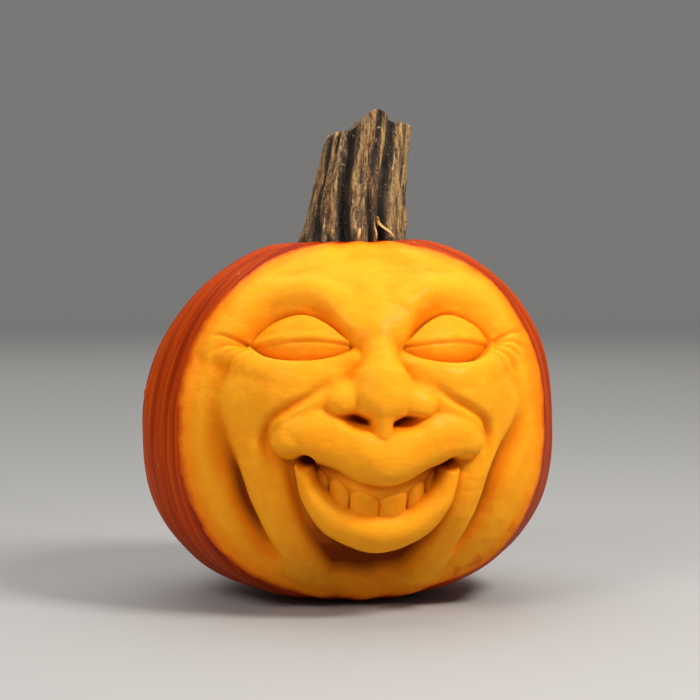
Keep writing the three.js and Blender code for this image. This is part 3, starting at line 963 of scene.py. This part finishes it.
def stalk_finish(settings):
    """Dry ribbed wood: tan ridges, grey-brown sides and nearly black furrows. The near-black of the
    furrows is painted shade, and the tan and golden fibres on the crests are the wood's own colour with
    painted highlight.
    """
    finish = Finish("dry_stalk")
    rib, share, reach = (finish.attribute(name) for name in ("rib", "share", "reach"))
    long_grain = finish.stretched((1, 1, 0.10))
    fibres = finish.speckle(long_grain, 640, 4, 0.66)
    strands = finish.speckle(long_grain, 190, 3, 0.6)
    patches = finish.speckle(finish.place, 70)
    specks = finish.speckle(finish.place, 520, 2, 0.5)
    ridge_share = rib.eased(-4.2, 0.9) * 0.8 + strands.eased(0.3, 0.72, -0.34, 0.36)
    on_rib = ridge_share.eased(0.12, 0.5)
    warm = finish.speckle(long_grain, 95, 2).eased(0.50, 0.62, 0, 0.65)
    broken = reach.eased(0.97, 0.86) * share.eased(0.97, 1)
    crust = finish.speckle(finish.stretched((1, 1, 0.5)), 760, 3, 0.65)
    # Painted shade: near black in the furrows and in dark streaks between fibres. Painted highlight: the
    # crests' tan and golden fibres, over the wood's own tones.
    wood = finish.layered(
        settings.furrow,
        (ridge_share.eased(0, 0.34), settings.bark),
        (ridge_share.eased(0.40, 0.92), settings.ridge_tan),
        (warm * on_rib, settings.russet),
        (fibres.eased(0.52, 0.64, 0, 0.85) * on_rib, settings.golden),
        (patches.eased(0.50, 0.66, 0, 0.32) * on_rib, GREY_BARK),
        (fibres.eased(0.47, 0.36, 0, 0.95), settings.furrow),
        (specks.eased(0.66, 0.74, 0, 0.6), PALE_SPECK),
        (share.eased(0.16, 0, 0, 0.45), DARK_FOOT),
        (broken, finish.mixed(strands.eased(0.35, 0.65), PITH_LIGHT, PITH_DARK)),
        (crust.eased(0.44, 0.34, 0, 0.75), settings.furrow),
        (crust.eased(0.60, 0.70, 0, 0.45) * on_rib, PALE_CRUST),
    )
    height = fibres * 0.6 + strands * 0.5 + specks * 0.3 + crust * 0.4
    finish.shade(
        Base_Color=wood,
        Roughness=fibres.eased(0.3, 0.7, 0.62, 0.86),
        Normal=finish.bump(height, 0.0024),
    )
    return finish.material


def fibre_finish(settings):
    """The paler inner wood of split fibres."""
    finish = Finish("split_fibre")
    grain = finish.speckle(finish.stretched((1, 1, 0.2)), 600)
    finish.shade(
        Base_Color=finish.mixed(grain.eased(0.35, 0.7), settings.golden, SPLIT_WOOD),
        Roughness=grain.eased(0.3, 0.7, 0.5, 0.7),
        Normal=finish.bump(grain, 0.0004),
    )
    return finish.material


# ---- The studio, in metres

FLOOR_RADIUS = 5
LIT_PLACE = (0, 0, 0.1)
WHITE = (1, 1, 1)
# Each lamp's name, place, size and tint. Its power is a setting.
LAMPS = (
    ("key", (0.62, -0.62, 1.06), 0.34, (1, 0.97, 0.92)),
    ("fill", (-0.8, -0.76, 0.9), 0.5, WHITE),
    ("top", (0, 1.2, 3.2), 4, WHITE),
)
SENSOR_WIDTH = 36


def towards(target, place):
    """The turn that points a light's or a camera's -Z axis at a target."""
    return (Vector(target) - Vector(place)).to_track_quat("-Z", "Y").to_euler()


def add_lamp(name, place, size, tint, watts):
    """A square soft light that faces the pumpkin."""
    deselect_all()
    bpy.ops.object.light_add(type="AREA", location=place, rotation=towards(LIT_PLACE, place))
    lamp = bpy.context.object
    lamp.name = name
    lamp.data.size = size
    lamp.data.energy = watts
    lamp.data.color = tint


def make_floor(settings):
    """A round pale floor that fades out towards its edge, so that no horizon shows."""
    deselect_all()
    bpy.ops.mesh.primitive_circle_add(vertices=96, radius=FLOOR_RADIUS, fill_type="NGON")
    floor = bpy.context.object
    floor.name = "studio_floor"
    finish = Finish("pale_floor")
    from_middle = finish.stretched((1 / FLOOR_RADIUS,) * 3)
    nearness = finish.node("TexGradient", {"gradient_type": "SPHERICAL"}, {"Vector": from_middle})
    finish.shade(Base_Color=settings.floor, Roughness=0.7, Alpha=nearness.eased(0.02, 0.62))
    floor.data.materials.append(finish.material)


def make_camera(settings):
    """The camera looks a little over the pumpkin's middle, so that the pumpkin sits low in the picture."""
    middle = Vector((0, 0, MIDDLE * M))
    turn, lift = settings.azimuth, settings.elevation
    back = Vector((math.sin(turn) * math.cos(lift), -math.cos(turn) * math.cos(lift), math.sin(lift)))
    place = middle + settings.distance * back
    deselect_all()
    bpy.ops.object.camera_add(location=place)
    camera = bpy.context.object
    camera.name = "studio_camera"
    camera.data.sensor_width = SENSOR_WIDTH
    camera.data.lens = SENSOR_WIDTH * settings.distance / settings.view_width
    pitch = math.atan(settings.raise_view / settings.distance)
    yaw = math.atan(settings.side_view / settings.distance)
    facing = (-back).to_track_quat("-Z", "Y").to_matrix()
    aimed = facing @ Matrix.Rotation(pitch, 3, "X") @ Matrix.Rotation(-yaw, 3, "Y")
    camera.rotation_euler = aimed.to_euler()
    bpy.context.scene.camera = camera


def make_stage(settings):
    """The floor, the lamps, an even light from all round and the camera."""
    make_floor(settings)
    for name, place, size, tint in LAMPS:
        add_lamp(name, place, size, tint, getattr(settings, name + "_watts"))
    world = bpy.data.worlds.new("studio_air")
    world.use_nodes = True
    air = world.node_tree.nodes["Background"]
    air.inputs["Color"].default_value = (*settings.air, 1)
    air.inputs["Strength"].default_value = settings.air_strength
    bpy.context.scene.world = world
    bpy.context.scene.view_settings.view_transform = "Standard"
    make_camera(settings)


# ---- The add-on


def setting(kind, name, default, description, **limits):
    """A value that the user can change, with its unit or its limits."""
    make = getattr(bpy.props, kind + "Property")
    return make(name=name, default=default, description=description, **limits)


def colour_setting(name, default, description):
    """A colour that the user can change."""
    return setting("FloatVector", name, default, description, subtype="COLOR", size=3, min=0, max=1)


def size_setting(name, millimetres, description):
    """A length on the pumpkin that the user can change."""
    return setting("Float", name, millimetres * M, description, unit="LENGTH", min=0, precision=4)


class LANTERN_PG_pumpkin(bpy.types.PropertyGroup):
    """Sizes and colours of the carved pumpkin"""

    carving_depth: size_setting("Carving Depth", 16.5, "How deep the ground of the carving lies")
    rim_width: size_setting("Rim Width", 12, "Width of the smooth band inside the cut edge")
    rim_depth: size_setting("Rim Depth", 5.5, "How far that band lies under the rind")
    detail: setting("Int", "Detail", 7, "Subdivisions of the ball that is carved", min=5, max=7)
    relax_steps: setting("Int", "Relax Steps", 8, "Rounds of spreading the vertices evenly", min=0, max=20)
    # Reach of the fold measure that places the painted shade in the folds.
    hollow_steps: setting("Int", "Hollow Steps", 60, "Reach of the folds' deeper colour", min=1, max=200)
    flesh: colour_setting("Flesh", (0.95, 0.366, 0.013), "Flesh near the rind")
    # Orange flesh for the mottling and for the painted shade of deep cuts and folds.
    flesh_mottle_and_painted_shade: colour_setting("Mottled Flesh And Painted Shade", (0.86, 0.235, 0.003), "Flesh deep in a cut")
    # Painted shade in the deepest cuts and folds.
    deep_cut_painted_shade: colour_setting("Painted Shade In Cuts", (0.22, 0.034, 0.001), "Flesh in the deepest cuts")
    rim: colour_setting("Rim", (0.88, 0.235, 0.006), "Flesh just inside the cut edge")
    under_rind: colour_setting("Under Rind", (0.66, 0.085, 0.002), "The thin layer at the cut edge")
    rind: colour_setting("Rind", (0.50, 0.048, 0.001), "The rind")
    rind_dark: colour_setting("Dark Rind", (0.25, 0.016, 0.001), "Darker streaks of the rind")
    rind_bright: colour_setting("Bright Rind", (0.66, 0.095, 0.002), "Brighter streaks of the rind")
    glow: setting("Float", "Glow", 0.25, "Share of the light that spreads inside the flesh", min=0, max=1)


class LANTERN_PG_stalk(bpy.types.PropertyGroup):
    """Sizes and colours of the stalk and its loose fibres"""

    lean: size_setting("Lean", 9.5, "How far the top leans to the right")
    flare: size_setting("Flare", 2, "How much the foot of the stalk spreads")
    # Crest tan: the wood's own colour with painted highlight.
    ridge_tan: colour_setting("Ridge", (0.44, 0.265, 0.095), "Crests of the ribs")
    bark: colour_setting("Bark", (0.09, 0.042, 0.013), "Sides of the ribs")
    # Nearly black painted shade in the furrows.
    furrow: colour_setting("Furrow", (0.015, 0.008, 0.003), "Bottoms of the furrows")
    # Golden fibres. On the rib crests they are also painted highlight.
    golden: colour_setting("Golden", (0.62, 0.37, 0.12), "Fibres that catch the light")
    russet: colour_setting("Russet", (0.20, 0.075, 0.016), "Warm brown strips of bark")


class LANTERN_PG_stage(bpy.types.PropertyGroup):
    """The floor, the lights and the camera"""

    floor: colour_setting("Floor", (0.38, 0.373, 0.362), "The plain floor")
    air: colour_setting("Air", (0.86, 0.85, 0.83), "The even light from all round")
    air_strength: setting("Float", "Air Strength", 0.22, "Strength of the even light", min=0)
    key_watts: setting("Float", "Key", 16.5, "The main light, high in front", min=0, subtype="POWER")
    fill_watts: setting("Float", "Fill", 7.5, "The broad light from the left", min=0, subtype="POWER")
    top_watts: setting("Float", "Top", 85, "The broad light overhead", min=0, subtype="POWER")
    azimuth: setting("Float", "Azimuth", math.radians(-10), "The camera's turn round", subtype="ANGLE")
    elevation: setting("Float", "Elevation", math.radians(5), "The camera's lift", subtype="ANGLE")
    distance: setting("Float", "Distance", 1.25, "From the camera to the pumpkin", unit="LENGTH")
    view_width: setting("Float", "View Width", 0.4116, "What the view takes in there", unit="LENGTH")
    raise_view: setting("Float", "Raise View", 0.0441, "How far over the middle it looks", unit="LENGTH")
    side_view: setting("Float", "Side View", 0.0018, "How far right of the middle it looks", unit="LENGTH")


class LANTERN_OT_pumpkin(bpy.types.Operator):
    """Add the pumpkin with its carved face"""

    bl_idname = "lantern.add_pumpkin"
    bl_label = "Carved Pumpkin"

    def execute(self, context):
        make_pumpkin(context.scene.lantern_pumpkin)
        return {"FINISHED"}


class LANTERN_OT_stalk(bpy.types.Operator):
    """Add the ribbed stalk"""

    bl_idname = "lantern.add_stalk"
    bl_label = "Ribbed Stalk"

    def execute(self, context):
        make_stalk(context.scene.lantern_stalk)
        return {"FINISHED"}


class LANTERN_OT_fibres(bpy.types.Operator):
    """Add the loose fibres of the stalk"""

    bl_idname = "lantern.add_fibres"
    bl_label = "Loose Fibres"

    def execute(self, context):
        make_fibres(context.scene.lantern_stalk)
        return {"FINISHED"}


class LANTERN_OT_stage(bpy.types.Operator):
    """Add the floor, the lights and the camera"""

    bl_idname = "lantern.add_stage"
    bl_label = "Studio"

    def execute(self, context):
        make_stage(context.scene.lantern_stage)
        return {"FINISHED"}


PIECES = (LANTERN_OT_pumpkin, LANTERN_OT_stalk, LANTERN_OT_fibres, LANTERN_OT_stage)


class LANTERN_PT_panel(bpy.types.Panel):
    """Lists the pieces and their settings in the sidebar"""

    bl_label = "Carved Pumpkin Lantern"
    bl_idname = "LANTERN_PT_panel"
    bl_space_type = "VIEW_3D"
    bl_region_type = "UI"
    bl_category = "Lantern"

    def draw(self, context):
        for piece in PIECES:
            self.layout.operator(piece.bl_idname)
        for name, group in GROUPS.items():
            box = self.layout.box()
            for key in group.__annotations__:
                box.prop(getattr(context.scene, name), key)


GROUPS = {
    "lantern_pumpkin": LANTERN_PG_pumpkin,
    "lantern_stalk": LANTERN_PG_stalk,
    "lantern_stage": LANTERN_PG_stage,
}


def register():
    """Makes the settings, pieces and panel known to Blender."""
    for group in (*GROUPS.values(), *PIECES, LANTERN_PT_panel):
        bpy.utils.register_class(group)
    for name, group in GROUPS.items():
        setattr(bpy.types.Scene, name, bpy.props.PointerProperty(type=group))


def unregister():
    """Takes them away again."""
    for name in GROUPS:
        delattr(bpy.types.Scene, name)
    for group in (LANTERN_PT_panel, *PIECES, *GROUPS.values()):
        bpy.utils.unregister_class(group)


def main():
    """Makes every piece in order."""
    register()
    bpy.ops.lantern.add_pumpkin()
    bpy.ops.lantern.add_stalk()
    bpy.ops.lantern.add_fibres()
    bpy.ops.lantern.add_stage()


if __name__ == "__main__":
    main()
